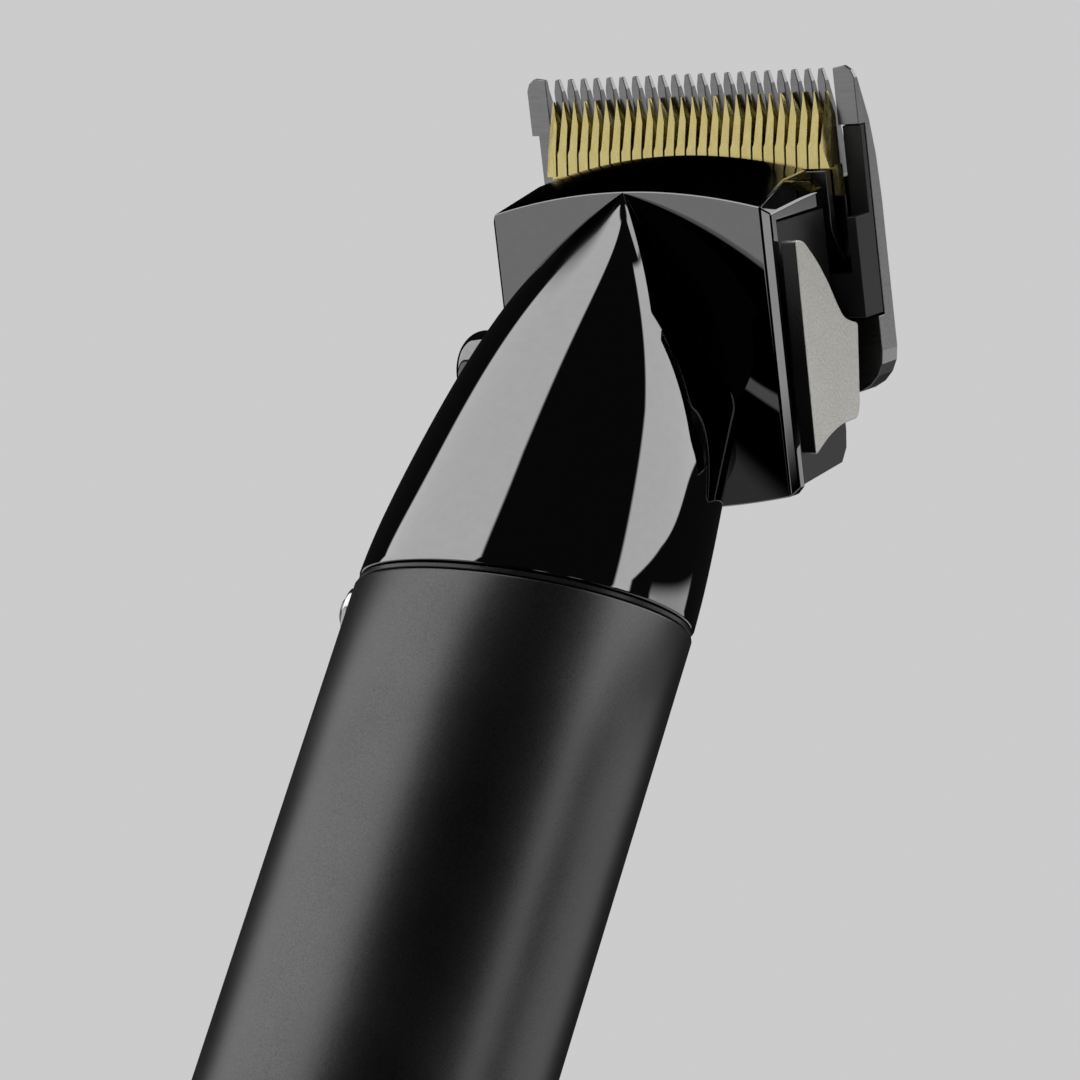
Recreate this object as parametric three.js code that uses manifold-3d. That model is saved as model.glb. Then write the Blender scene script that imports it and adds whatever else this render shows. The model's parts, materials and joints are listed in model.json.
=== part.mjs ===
// Cordless hair clipper: a straight metal tube handle, and a hammer-shaped head whose flat front is
// tipped forward of the handle's axis. Millimetres. +Z runs up the handle to the blades, the cutting
// side faces -Y, and the base stands on z = 0 with the origin at its middle.
import * as THREE from "three";
import { mergeVertices } from "three/addons/utils/BufferGeometryUtils.js";
import Module from "manifold-3d";

const wasm = await Module();
wasm.setup();

// ---- Driving dimensions ----
const GAP = 0.3; // clearance between pieces that touch
const HANDLE_RADIUS = 19;
const HANDLE_WALL = 1.6;
const BASE_HEIGHT = 2.4; // visible edge of the end cap
const SEAM_HEIGHT = 110; // middle of the slanted joint between handle and head
const SEAM_SLOPE = 0.2244; // the joint is lower at the front
const HEAD_TILT = THREE.MathUtils.degToRad(40); // blade plane, from the handle's axis
const HEAD_FORWARD = 4.55; // head's top front edge, ahead of the axis
const HEAD_RISE = 49; // and above the seam
const HEAD_HALF_WIDTH = 19.4;
const FRONT_HALF_WIDTH = 18.6; // front face, inside its chamfers
const HEAD_LENGTH = 33.4; // front face, top edge to bottom edge
const HEAD_DEPTH = 12.35; // front face to rear face
const HEAD_WALL = 2;
const TOP_ARCH = 2.24; // rise of the top edge at mid width
const BOTTOM_ARCH = 1.6; // and fall of the bottom edge
const FACET_RISE = 2; // top facet, over FACET_DEPTH behind the front face
const FACET_DEPTH = 7.5;
const TOP_SEAT = -1.8; // underside of the shell's thick top
const CHAMFER = 0.9;
const SEAM_HALF = 0.3; // half height of the trim ring in the seam
const SEAM_GAP = 0.15; // clearance above and below it
const POSTS = [[-14.4, -5.4], [14.4, -5.4], [-14.2, -28], [14.2, -28]];
const APEX_RISE = 50.75; // neck's point, above the seam
const APEX_FORWARD = 5.89;
const NECK_TAPER = 0.157; // radius lost per unit of height, above the seam's easing
const NECK_EASING = 3;
const NECK_EASED_FROM = 4; // height at which the taper sets in
const NECK_FRONT_SHARE = 0.62; // part of the point's forward lean that comes off the radius
const SHOULDER_FROM = 30; // height over which the neck's full back draws in
const SHOULDER_TO = 40;
const POST_RADIUS = 2.4;
const POST_SCREW_RADIUS = 1; // thread; the holes it passes are a little wider

const FIXED_HALF_WIDTH = 23;
const FIXED_FACE = -15.55; // inner face of the fixed blade, in the head frame
const FIXED_THICKNESS = 3.35;
const FIXED_TIP = 13.6;
const FIXED_ROOT = 1;
const FIXED_BOTTOM = -24.4;
const WING_STEP = 1.35; // recess of the fixed blade's wings, for the carriage's arms
const WING_SHOULDER = 7; // and where it ends
const FIXED_TEETH = 21;
const FIXED_PITCH = 1.852;
const MOVING_TEETH = 26;
const MOVING_PITCH = 1.536;
const MOVING_TIP = 11;
const MOVING_ROOT = 1.6;
const MOVING_FRONT = -13; // front of the moving blade's teeth, at their roots
const MOVING_GRIND = 3.6; // the teeth are ground back from here to the tip
const CORNER_NORMAL = [0.285, 0.254, 0.924]; // facet ground on the moving blade's outer teeth
const MOVING_SHIFT = 0.22; // where the stroke stands at rest
const MOVING_HALF_WIDTH = 20.1;

const LEVER_D = -19.4; // taper axis, in the head frame
const LEVER_N = -5.2;
const LEVER_THICKNESS = 2;
const LEVER_START = HEAD_HALF_WIDTH + 0.6;
const LEVER_SHAFT_RADIUS = 2;
const LEVER_HOLE_RADIUS = LEVER_SHAFT_RADIUS + 0.2;
const CAM_THROW = 4;
const CAM_X = 13.2;
const CAM_HUB = 2.9;
const CARRIAGE_FOOT = -15;
const KNOB_RADIUS = 4.8;
const KNOB_LENGTH = 8;
const BLADE_SCREW_X = 8;
const BLADE_SCREW_D = -12.4;
const BLADE_SCREW_RADIUS = 1.25;
const BLADE_SCREW_POCKET = 3; // radius of the sink for the screw's head
const BLADE_SCREW_SINK = 1.35;

const MOTOR_Y = 5.5;
const MOTOR_RADIUS = 10.25;
const MOTOR_BOTTOM = SEAM_HEIGHT + 2;
const MOTOR_TOP = SEAM_HEIGHT + 28;
const CRANK = 1; // eccentric pin's offset
const CRANK_PIN_RADIUS = 0.9;
const ECCENTRIC_RADIUS = 4;
const SHAFT_RADIUS = 1.2;
const BUTTON_ANGLE = THREE.MathUtils.degToRad(203);
const BUTTON_DROP = 4.7; // below the seam's middle
const BEZEL_RADIUS = 2.8;
const BEZEL_FACE = HANDLE_RADIUS + 0.65;
const BUTTON_RADIUS = 2.25;
const BUTTON_FACE = HANDLE_RADIUS + 1.4;
const CELL_RADIUS = 9.2;
const CELL_LENGTH = 65;
const CELL_BOTTOM = 17;
const CELL_Y = -7.3;
const CONTACT_X = 5; // charging contacts, beside the axis
const CONTACT_Y = -9.5;
const SOCKET_Y = 9.5;
const CAP_SCREW_X = 11;
const MOUNT_SCREW_X = 6.5;

// ---- Finishes ----
const FINISH = {
  matteBlack: { color: 0x2b292a, roughness: 0.55, metalness: 0.7 },
  glossBlack: { color: 0x08080a, roughness: 0.08, metalness: 0.2 },
  satinPlastic: { color: 0x1b1b1c, roughness: 0.4, metalness: 0 },
  mattePlastic: { color: 0x141414, roughness: 0.6, metalness: 0 },
  steel: { color: 0x9a9a9c, roughness: 0.35, metalness: 1 },
  brightSteel: { color: 0xd0d0d2, roughness: 0.2, metalness: 1 },
  gold: { color: 0xcdb44f, roughness: 0.3, metalness: 1 },
  satinNickel: { color: 0xb5b2a8, roughness: 0.4, metalness: 1 },
  brass: { color: 0xc9a860, roughness: 0.35, metalness: 1 },
  boardGreen: { color: 0x1f5a3a, roughness: 0.5, metalness: 0 },
  cellWrap: { color: 0x3a6ea5, roughness: 0.45, metalness: 0 },
  greyMagnet: { color: 0x4a4a4d, roughness: 0.6, metalness: 0.3 },
  nylon: { color: 0xd8d5cc, roughness: 0.6, metalness: 0 },
};

// ---- Tools for closed solids ----
const X_ALONG = new THREE.Matrix4().makeBasis(
  new THREE.Vector3(0, 1, 0),
  new THREE.Vector3(0, 0, 1),
  new THREE.Vector3(1, 0, 0),
);
// Head frame: x across, y (called d) up the blade plane towards the teeth, z (called n) out of the
// front face.
const HEAD_FRAME = new THREE.Matrix4()
  .makeTranslation(0, -HEAD_FORWARD, SEAM_HEIGHT + HEAD_RISE)
  .multiply(new THREE.Matrix4().makeRotationX(Math.PI / 2 + HEAD_TILT));

function solid(geometry) {
  const plain = new THREE.BufferGeometry();
  plain.setAttribute("position", geometry.getAttribute("position"));
  if (geometry.index) plain.setIndex(geometry.index);
  const merged = mergeVertices(plain, 1e-4);
  return new wasm.Manifold(
    new wasm.Mesh({
      numProp: 3,
      vertProperties: new Float32Array(merged.attributes.position.array),
      triVerts: new Uint32Array(merged.index.array),
    }),
  );
}

function surface(made) {
  const mesh = made.getMesh();
  const geometry = new THREE.BufferGeometry();
  geometry.setAttribute("position", new THREE.BufferAttribute(mesh.vertProperties, 3));
  geometry.setIndex(new THREE.BufferAttribute(mesh.triVerts, 1));
  geometry.computeVertexNormals();
  return geometry;
}

const join = (first, ...others) => others.reduce((all, one) => all.add(one), first);
const cut = (first, ...others) => others.reduce((left, one) => left.subtract(one), first);
const meet = (first, ...others) => others.reduce((left, one) => left.intersect(one), first);

function outline(points) {
  return new THREE.Shape(points.map(([a, b]) => new THREE.Vector2(a, b)));
}

// A flat outline in the first two axes, standing from one height to another along the third.
function plate(shape, from, to, curveSegments = 8) {
  const flat = shape instanceof THREE.Shape ? shape : outline(shape);
  const options = { depth: to - from, bevelEnabled: false, curveSegments };
  return solid(new THREE.ExtrudeGeometry(flat, options).translate(0, 0, from));
}

// An outline in the second and third axes, standing across the first.
function across(points, from, to) {
  const options = { depth: to - from, bevelEnabled: false };
  const geometry = new THREE.ExtrudeGeometry(outline(points), options);
  return solid(geometry.translate(0, 0, from).applyMatrix4(X_ALONG));
}

function box(low, high) {
  const size = high.map((value, i) => value - low[i]);
  const middle = high.map((value, i) => (value + low[i]) / 2);
  return solid(new THREE.BoxGeometry(...size).translate(...middle));
}

// A round bar along the third axis.
function bar(radius, from, to, x = 0, y = 0, segments = 20) {
  const geometry = new THREE.CylinderGeometry(radius, radius, to - from, segments);
  return solid(geometry.rotateX(Math.PI / 2).translate(x, y, (from + to) / 2));
}

// A round bar along the first axis, through (y, z).
function crossBar(radius, from, to, y, z, segments = 20) {
  const geometry = new THREE.CylinderGeometry(radius, radius, to - from, segments);
  return solid(geometry.rotateZ(-Math.PI / 2).translate((from + to) / 2, y, z));
}

// A turned piece about the third axis: profile points are [radius, height], up the outside first.
function turned(profile, segments = 32) {
  const points = profile.map(([radius, height]) => new THREE.Vector2(radius, height));
  return solid(new THREE.LatheGeometry(points, segments).rotateX(Math.PI / 2));
}

const tube = (outer, inner, from, to, segments = 32) =>
  turned([[inner, from], [outer, from], [outer, to], [inner, to], [inner, from]], segments);

const moved = (made, matrix) => solid(surface(made).applyMatrix4(matrix));

function roundedRectangle(width, height, corner) {
  const [w, h] = [width / 2, height / 2];
  const shape = new THREE.Shape();
  shape.absarc(w - corner, h - corner, corner, 0, Math.PI / 2);
  shape.absarc(-w + corner, h - corner, corner, Math.PI / 2, Math.PI);
  shape.absarc(-w + corner, -h + corner, corner, Math.PI, 1.5 * Math.PI);
  shape.absarc(w - corner, -h + corner, corner, 1.5 * Math.PI, 2 * Math.PI);
  return shape;
}

// Everything above the slanted seam, raised by an offset.
function aboveSeam(offset) {
  const geometry = new THREE.BoxGeometry(80, 80, 120).translate(0, 0, 60);
  geometry.rotateX(Math.atan(SEAM_SLOPE)).translate(0, 0, SEAM_HEIGHT + offset);
  return solid(geometry);
}

// ---- The assembly ----
const clipper = new THREE.Group();
const head = new THREE.Group();
head.applyMatrix4(HEAD_FRAME);
clipper.add(head);

function piece(parent, name, finish, made) {
  const mesh = new THREE.Mesh(surface(made), new THREE.MeshStandardMaterial(FINISH[finish]));
  mesh.name = name;
  parent.add(mesh);
}

// ---- Neck and head shell ----
const rise = (height) => Math.max(height, 0) / APEX_RISE;
const smooth = (value, low, high) => THREE.MathUtils.smoothstep(value, low, high);

// How far the neck's skin has drawn in from the handle's radius: easing off at the seam, then an
// almost straight taper that rounds over towards the point.
function drawIn(height) {
  const eased = (at) => NECK_EASING * Math.log(1 + Math.exp((at - NECK_EASED_FROM) / NECK_EASING));
  const full = HANDLE_RADIUS - NECK_FRONT_SHARE * APEX_FORWARD;
  const left = full - NECK_TAPER * eased(APEX_RISE);
  return NECK_TAPER * eased(height) + left * rise(height) ** 4;
}

function neckSection(height) {
  const lean = rise(height) ** 3;
  const y = -APEX_FORWARD * lean;
  const radius = HANDLE_RADIUS - drawIn(height) - NECK_FRONT_SHARE * APEX_FORWARD * lean;
  return { y, radius: Math.max(radius, 0.02) };
}

// A point of the neck's skin. The back keeps the handle's radius up to the shoulder; rings are
// parallel to the slanted seam at the bottom and level at the point.
function neckPoint(height, angle, thinner) {
  const { y, radius } = neckSection(height);
  const back = smooth(Math.sin(angle), 0, 1.2) * (1 - smooth(height, SHOULDER_FROM, SHOULDER_TO));
  const reach = Math.max(radius + (HANDLE_RADIUS - radius) * back - thinner, 0.02);
  const py = y * (1 - back) + reach * Math.sin(angle);
  return new THREE.Vector3(reach * Math.cos(angle), py, slanted(height, py));
}

const slope = (height) => SEAM_SLOPE * (1 - rise(height));
const slanted = (height, y) => SEAM_HEIGHT + height + slope(height) * y;
const neckRing = (height, thinner, count) =>
  Array.from({ length: count }, (_, i) => neckPoint(height, (2 * Math.PI * i) / count, thinner));

// A skin through rings of equal count, closed with flat caps.
function loft(rings) {
  const count = rings[0].length;
  const positions = rings.flat().flatMap((p) => [p.x, p.y, p.z]);
  const index = [];
  for (let r = 0; r + 1 < rings.length; r++)
    for (let i = 0; i < count; i++) {
      const [a, b] = [r * count + i, r * count + ((i + 1) % count)];
      index.push(a, b, b + count, a, b + count, a + count);
    }
  const flat = (ring) => ring.map((p) => new THREE.Vector2(p.x, p.y));
  const last = (rings.length - 1) * count;
  for (const [a, b, c] of THREE.ShapeUtils.triangulateShape(flat(rings[0]), []))
    index.push(a, c, b);
  for (const [a, b, c] of THREE.ShapeUtils.triangulateShape(flat(rings[rings.length - 1]), []))
    index.push(last + a, last + b, last + c);
  const geometry = new THREE.BufferGeometry();
  geometry.setAttribute("position", new THREE.Float32BufferAttribute(positions, 3));
  geometry.setIndex(index);
  return solid(geometry);
}

const steps = (from, to, count) =>
  Array.from({ length: count + 1 }, (_, i) => from + ((to - from) * i) / count);

// ---- Head shell ----
const topEdge = (x) => TOP_ARCH * (1 - Math.min(Math.abs(x) / FRONT_HALF_WIDTH, 1) ** 2);

// Side view of the gloss shell at one station across the head: a front plate, and a thick top that
// ends in the lip over the blades. The outermost stations are chamfered.
function shellRing(x) {
  const chamfer = Math.max(Math.abs(x) - HEAD_HALF_WIDTH + CHAMFER, 0);
  const arch = topEdge(x) - chamfer;
  const bottom = -HEAD_LENGTH - BOTTOM_ARCH * (1 - (x / HEAD_HALF_WIDTH) ** 2) + chamfer;
  return [
    [bottom, -HEAD_WALL],
    [TOP_SEAT, -HEAD_WALL],
    [TOP_SEAT, -HEAD_DEPTH],
    [FACET_RISE + 0.36 + arch, -HEAD_DEPTH],
    [FACET_RISE + arch, -FACET_DEPTH],
    [arch, -chamfer],
    [bottom, -chamfer],
  ].map(([d, n]) => new THREE.Vector3(d, n, x));
}

function headShell() {
  const beforeFace = box([-40, -80, -1.2], [40, 20, 80]);
  const stations = [
    -HEAD_HALF_WIDTH,
    ...steps(CHAMFER - HEAD_HALF_WIDTH, HEAD_HALF_WIDTH - CHAMFER, 12),
    HEAD_HALF_WIDTH,
  ];
  const block = moved(loft(stations.map(shellRing)), X_ALONG);
  const neckLevels = [-8, ...steps(0, APEX_RISE, 15)];
  const neck = meet(loft(neckLevels.map((h) => neckRing(h, 0, 40))), moved(beforeFace, HEAD_FRAME));
  const posts = POSTS.map(([x, d]) => bar(POST_RADIUS, -HEAD_DEPTH + 2.05, -HEAD_WALL + 0.5, x, d, 12));
  const holes = POSTS.map(([x, d]) => bar(POST_SCREW_RADIUS + 0.2, -HEAD_DEPTH, -HEAD_WALL - 1, x, d, 8));
  const inHead = moved(cut(join(block, ...posts), ...holes), HEAD_FRAME);
  const hollow = loft([-9, ...steps(0, 40, 6)].map((h) => neckRing(h, HEAD_WALL, 24)));
  const driveTunnel = bar(ECCENTRIC_RADIUS + 1.5, SEAM_HEIGHT + 20, SEAM_HEIGHT + 50, 0, MOTOR_Y, 16);
  const whole = meet(join(inHead, neck), aboveSeam(SEAM_HALF + SEAM_GAP));
  const motorBay = bar(MOTOR_RADIUS + 0.8, SEAM_HEIGHT - 5, MOTOR_TOP + 3.4, 0, MOTOR_Y, 28);
  return cut(whole, hollow, driveTunnel, motorBay);
}

function rearHousing() {
  const wall = -HEAD_DEPTH + 1.75;
  const half = HEAD_HALF_WIDTH - 0.4;
  const profile = [
    [-32.4, -HEAD_WALL - GAP], [-31.5, -10.8], [-30, -12], [-28, -HEAD_DEPTH],
    [TOP_SEAT - GAP, -HEAD_DEPTH], [TOP_SEAT - GAP, -HEAD_WALL - GAP],
  ];
  const driveWindow = box([-8.4, -10, -14], [8.4, 2, wall + 1]);
  const camWindow = box([10.8, LEVER_D - 5, -14], [15.8, CARRIAGE_FOOT + 2, wall + 1]);
  return cut(
    across(profile, -half, half),
    box([-half + 1.8, -30.6, wall], [half - 1.8, 2, 2]),
    crossBar(LEVER_HOLE_RADIUS, -40, 40, LEVER_D, LEVER_N),
    driveWindow,
    camWindow,
    ...POSTS.flatMap(([x, d]) => [
      bar(POST_SCREW_RADIUS + 0.3, -20, 0, x, d, 8),
      bar(POST_RADIUS, -20, -HEAD_DEPTH + 1, x, d, 14),
    ]),
  );
}

// A screw along the third axis, head at the low end.
function screw(x, y, low, headRadius, headHeight, shankRadius, length) {
  const socket = plate(
    Array.from({ length: 6 }, (_, i) => {
      const angle = (Math.PI * i) / 3;
      return [x + headRadius * 0.5 * Math.cos(angle), y + headRadius * 0.5 * Math.sin(angle)];
    }),
    low - 1,
    low + headHeight * 0.6,
  );
  return cut(
    join(
      bar(headRadius, low, low + headHeight, x, y, 14),
      bar(shankRadius, low + headHeight - 0.1, low + length, x, y, 8),
    ),
    socket,
  );
}

piece(clipper, "head_shell", "glossBlack", headShell());
piece(head, "rear_housing", "satinPlastic", rearHousing());
POSTS.forEach(([x, d], i) =>
  piece(head, `housing_screw_${i + 1}`, "steel", screw(x, d, -12.2, 2.1, 0.8, POST_SCREW_RADIUS, 8)),
);

// ---- Handle ----
const tubeRadius = HANDLE_RADIUS - HANDLE_WALL;
const aroundButton = new THREE.Matrix4()
  .makeTranslation(0, 0, SEAM_HEIGHT - BUTTON_DROP)
  .multiply(new THREE.Matrix4().makeRotationZ(BUTTON_ANGLE));

piece(
  clipper,
  "body_shell",
  "matteBlack",
  cut(
    tube(HANDLE_RADIUS, tubeRadius, BASE_HEIGHT + GAP, SEAM_HEIGHT + 10, 48),
    aboveSeam(-SEAM_HALF - SEAM_GAP),
    moved(crossBar(BEZEL_RADIUS - 0.4, 10, 30, 0, 0, 32), aroundButton),
  ),
);
piece(
  clipper,
  "seam_ring",
  "satinPlastic",
  cut(
    tube(HANDLE_RADIUS - 0.25, tubeRadius, SEAM_HEIGHT - 10, SEAM_HEIGHT + 10, 48),
    aboveSeam(SEAM_HALF),
    cut(box([-40, -40, SEAM_HEIGHT - 40], [40, 40, SEAM_HEIGHT + 40]), aboveSeam(-SEAM_HALF)),
  ),
);

piece(
  clipper,
  "end_cap",
  "satinPlastic",
  cut(
    turned([
      [0, 0], [HANDLE_RADIUS - 0.8, 0], [HANDLE_RADIUS, 0.8], [HANDLE_RADIUS, BASE_HEIGHT],
      [tubeRadius - GAP, BASE_HEIGHT], [tubeRadius - GAP, 8], [tubeRadius - 2.2, 8],
      [tubeRadius - 2.2, 3.2], [0, 3.2],
    ], 48),
    plate(roundedRectangle(9.6, 4, 1.6), -1, 5, 3).translate(0, SOCKET_Y, 0),
    ...[-1, 1].flatMap((side) => [
      bar(1.9, -1, 5, side * CONTACT_X, CONTACT_Y, 12),
      bar(1.3, -1, 5, side * CAP_SCREW_X, 0, 8),
      bar(2.3, -1, 1.4, side * CAP_SCREW_X, 0, 14),
    ]),
  ),
);
piece(
  clipper,
  "charge_socket",
  "steel",
  cut(
    plate(roundedRectangle(9, 3.4, 1.4), 0.4, 8, 3).translate(0, SOCKET_Y, 0),
    plate(roundedRectangle(8, 2.4, 1), -1, 7, 3).translate(0, SOCKET_Y, 0),
  ),
);
for (const [side, name] of [[-1, "left"], [1, "right"]]) {
  piece(
    clipper,
    `charge_contact_${name}`,
    "brass",
    bar(1.6, 0.25, 5, side * CONTACT_X, CONTACT_Y, 16),
  );
  piece(clipper, `cap_screw_${name}`, "steel", screw(side * CAP_SCREW_X, 0, 0.4, 2, 0.8, 1, 9.2));
}

// Chassis: a spine along the tube with a foot and a top shelf, the cell in front of it and the
// control board behind it.
const cellTop = CELL_BOTTOM + CELL_LENGTH;
const shelf = (from, to, back) => meet(
  bar(tubeRadius - 0.4, from, to, 0, 0, 24),
  box([-20, -20, 0], [20, back, 200]),
);
piece(
  clipper,
  "chassis",
  "mattePlastic",
  cut(
    join(
      box([-13, 2.2, 9], [13, 4, 95]),
      shelf(9, 11.5, 12),
      shelf(CELL_BOTTOM - 3, CELL_BOTTOM - 1.2, 4),
      shelf(cellTop + 1.2, cellTop + 3, 4),
      box([-3, 2.2, 94], [3, 4, 106]),
    ),
    bar(4, 8, 40, 0, CELL_Y),
    box([-6, 4.4, 8], [6, 20, 12.5]),
    ...[-1, 1].map((side) => bar(1.15, 8, 12, side * CAP_SCREW_X, 0, 12)),
  ),
);
piece(
  clipper,
  "battery_cell",
  "cellWrap",
  turned([
    [0, CELL_BOTTOM], [CELL_RADIUS - 0.6, CELL_BOTTOM], [CELL_RADIUS, CELL_BOTTOM + 0.6],
    [CELL_RADIUS, cellTop - 1.4], [CELL_RADIUS - 0.8, cellTop - 0.8], [3, cellTop - 0.8],
    [3, cellTop], [0, cellTop],
  ]).translate(0, CELL_Y, 0),
);
piece(
  clipper,
  "battery_tab_negative",
  "brightSteel",
  box([-3.5, -12, CELL_BOTTOM - 0.9], [3.5, 1.5, CELL_BOTTOM - GAP]),
);
piece(
  clipper,
  "battery_tab_positive",
  "brightSteel",
  box([-3.5, -10, cellTop + GAP], [3.5, 1.5, cellTop + 0.9]),
);
piece(
  clipper,
  "control_board",
  "boardGreen",
  join(
    box([-12.5, 5, 14], [12.5, 6.6, 96]),
    box([-10, 6.5, 20], [-2, 8.5, 30]),
    box([1, 6.5, 40], [9, 9, 52]),
    box([-7, 6.5, 60], [5, 8, 72]),
  ),
);
piece(
  clipper,
  "switch_board",
  "boardGreen",
  moved(box([9.2, -5, -6], [10.4, 5, 5]), aroundButton),
);
piece(
  clipper,
  "tact_switch",
  "mattePlastic",
  moved(join(box([10.7, -3, -3], [13.4, 3, 3]), crossBar(1.4, 13.3, 14, 0, 0, 16)), aroundButton),
);
piece(
  clipper,
  "button_bezel",
  "brightSteel",
  moved(
    cut(
      join(
        crossBar(BEZEL_RADIUS - 0.6, 16, BEZEL_FACE - 0.2, 0, 0, 32),
        cut(
          crossBar(BEZEL_RADIUS, 18, BEZEL_FACE, 0, 0, 32),
          bar(HANDLE_RADIUS + 0.12, -20, 20, 0, 0, 48),
        ),
      ),
      crossBar(BUTTON_RADIUS - 0.35, 10, 30, 0, 0, 32),
    ),
    aroundButton,
  ),
);
piece(
  clipper,
  "power_button",
  "glossBlack",
  moved(
    join(
      crossBar(BUTTON_RADIUS - 0.5, 14.9, BUTTON_FACE - 0.35, 0, 0, 32),
      crossBar(BUTTON_RADIUS - 0.85, 18, BUTTON_FACE, 0, 0, 32),
      crossBar(BUTTON_RADIUS + 0.6, 14.7, 15.4, 0, 0, 32),
    ),
    aroundButton,
  ),
);

// ---- Motor ----
const onShaft = (made) => made.translate(0, MOTOR_Y, 0);
piece(
  clipper,
  "motor_can",
  "steel",
  onShaft(
    turned([
      [MOTOR_RADIUS - 0.9, MOTOR_BOTTOM], [MOTOR_RADIUS, MOTOR_BOTTOM],
      [MOTOR_RADIUS, MOTOR_TOP - 0.6], [MOTOR_RADIUS - 0.6, MOTOR_TOP], [3.3, MOTOR_TOP],
      [3.3, MOTOR_TOP - 1], [MOTOR_RADIUS - 0.9, MOTOR_TOP - 1], [MOTOR_RADIUS - 0.9, MOTOR_BOTTOM],
    ], 28),
  ),
);
piece(
  clipper,
  "motor_magnet",
  "greyMagnet",
  onShaft(tube(MOTOR_RADIUS - 1.2, 7.4, MOTOR_BOTTOM + 3, MOTOR_TOP - 3, 24)),
);
piece(
  clipper,
  "motor_end_bell",
  "nylon",
  onShaft(
    turned([
      [2, MOTOR_BOTTOM - 3], [MOTOR_RADIUS, MOTOR_BOTTOM - 3], [MOTOR_RADIUS, MOTOR_BOTTOM - GAP],
      [MOTOR_RADIUS - 1.2, MOTOR_BOTTOM - GAP], [MOTOR_RADIUS - 1.2, MOTOR_BOTTOM + 1.6],
      [2, MOTOR_BOTTOM + 1.6], [2, MOTOR_BOTTOM - 3],
    ], 28),
  ),
);
piece(
  clipper,
  "motor_bearing",
  "brass",
  onShaft(tube(3, SHAFT_RADIUS + 0.1, MOTOR_TOP - 1.6, MOTOR_TOP + 1.4, 16)),
);
piece(
  clipper,
  "motor_mount",
  "brightSteel",
  onShaft(
    cut(
      plate(roundedRectangle(20.8, 15, 6), MOTOR_TOP + GAP, MOTOR_TOP + 1.8, 5),
      bar(3.3, MOTOR_TOP - 5, MOTOR_TOP + 5),
      ...[-1, 1].map((side) => bar(1, MOTOR_TOP - 5, MOTOR_TOP + 5, side * MOUNT_SCREW_X, 0, 12)),
    ),
  ),
);
for (const [side, name] of [[-1, "left"], [1, "right"]]) {
  piece(
    clipper,
    `mount_screw_${name}`,
    "steel",
    onShaft(
      join(
        bar(1.7, MOTOR_TOP + 2, MOTOR_TOP + 3, side * MOUNT_SCREW_X, 0),
        bar(0.8, MOTOR_TOP + 0.4, MOTOR_TOP + 2.1, side * MOUNT_SCREW_X, 0, 12),
      ),
    ),
  );
}
piece(
  clipper,
  "motor_rotor",
  "steel",
  onShaft(tube(6.9, SHAFT_RADIUS + 0.2, MOTOR_BOTTOM + 4, MOTOR_TOP - 4, 20)),
);
piece(
  clipper,
  "motor_shaft",
  "brightSteel",
  onShaft(bar(SHAFT_RADIUS, MOTOR_BOTTOM - 2.6, SEAM_HEIGHT + 44.5, 0, 0, 24)),
);
piece(
  clipper,
  "eccentric",
  "brass",
  onShaft(
    cut(
      join(
        bar(ECCENTRIC_RADIUS, SEAM_HEIGHT + 42.6, SEAM_HEIGHT + 45.8),
        bar(CRANK_PIN_RADIUS, SEAM_HEIGHT + 45.7, SEAM_HEIGHT + 52, CRANK, 0, 16),
      ),
      bar(SHAFT_RADIUS + 0.2, SEAM_HEIGHT + 40, SEAM_HEIGHT + 44.8, 0, 0, 24),
    ),
  ),
);

// ---- Blades ----
// A comb: the base's outline, right half first, with teeth set in its middle. Tooth points are
// [across, up], from the right root over the tip to the left root.
function combOutline(base, count, pitch, tooth) {
  const teeth = Array.from({ length: count }, (_, i) => {
    const x = ((count - 1) / 2 - i) * pitch;
    return tooth.map(([across, up]) => [x + across, up]);
  });
  return [...base.slice(0, base.length / 2), ...teeth.flat(), ...base.slice(base.length / 2)];
}

function fixedBlade() {
  const half = FIXED_HALF_WIDTH;
  const inner = half - 2.8;
  const round = 5;
  const corner = steps(0, 1, 5).map((t) => {
    const angle = (Math.PI / 2) * t;
    return [half - round + round * Math.sin(angle), FIXED_BOTTOM + round - round * Math.cos(angle)];
  });
  const right = [
    ...corner, [half, FIXED_TIP - 1.2], [half - 0.4, FIXED_TIP - 0.3], [half - 1.2, FIXED_TIP + 0.25],
    [inner, FIXED_TIP], [inner, FIXED_ROOT],
  ];
  const left = right.map(([x, d]) => [-x, d]).reverse();
  const tooth = [
    [0.55, FIXED_ROOT], [0.55, FIXED_TIP - 1.4], [0.25, FIXED_TIP],
    [-0.25, FIXED_TIP], [-0.55, FIXED_TIP - 1.4], [-0.55, FIXED_ROOT],
  ];
  const comb = plate(
    combOutline([...right, ...left], FIXED_TEETH, FIXED_PITCH, tooth),
    FIXED_FACE - 5,
    FIXED_FACE + 1,
  );
  const outer = FIXED_FACE - FIXED_THICKNESS;
  const thickness = [
    [-30, outer], [-2, outer], [3.1, outer + 0.3], [7.3, outer + 1], [12.5, FIXED_FACE - 0.7],
    [15, FIXED_FACE - 0.4], [15, FIXED_FACE], [-30, FIXED_FACE],
  ];
  const recesses = [-1, 1].map((side) => {
    const [low, high] = side < 0 ? [-half - 1, -inner] : [inner, half + 1];
    const floor = FIXED_FACE - WING_STEP;
    return box([low, CARRIAGE_FOOT - GAP, floor], [high, WING_SHOULDER, FIXED_FACE + 1]);
  });
  return cut(
    meet(comb, across(thickness, -30, 30)),
    ...recesses,
    ...[-1, 1].flatMap((side) => [
      bar(1.7, -30, 0, side * BLADE_SCREW_X, BLADE_SCREW_D, 16),
      bar(BLADE_SCREW_POCKET, -30, outer + BLADE_SCREW_SINK, side * BLADE_SCREW_X, BLADE_SCREW_D, 24),
    ]),
  );
}

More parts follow.
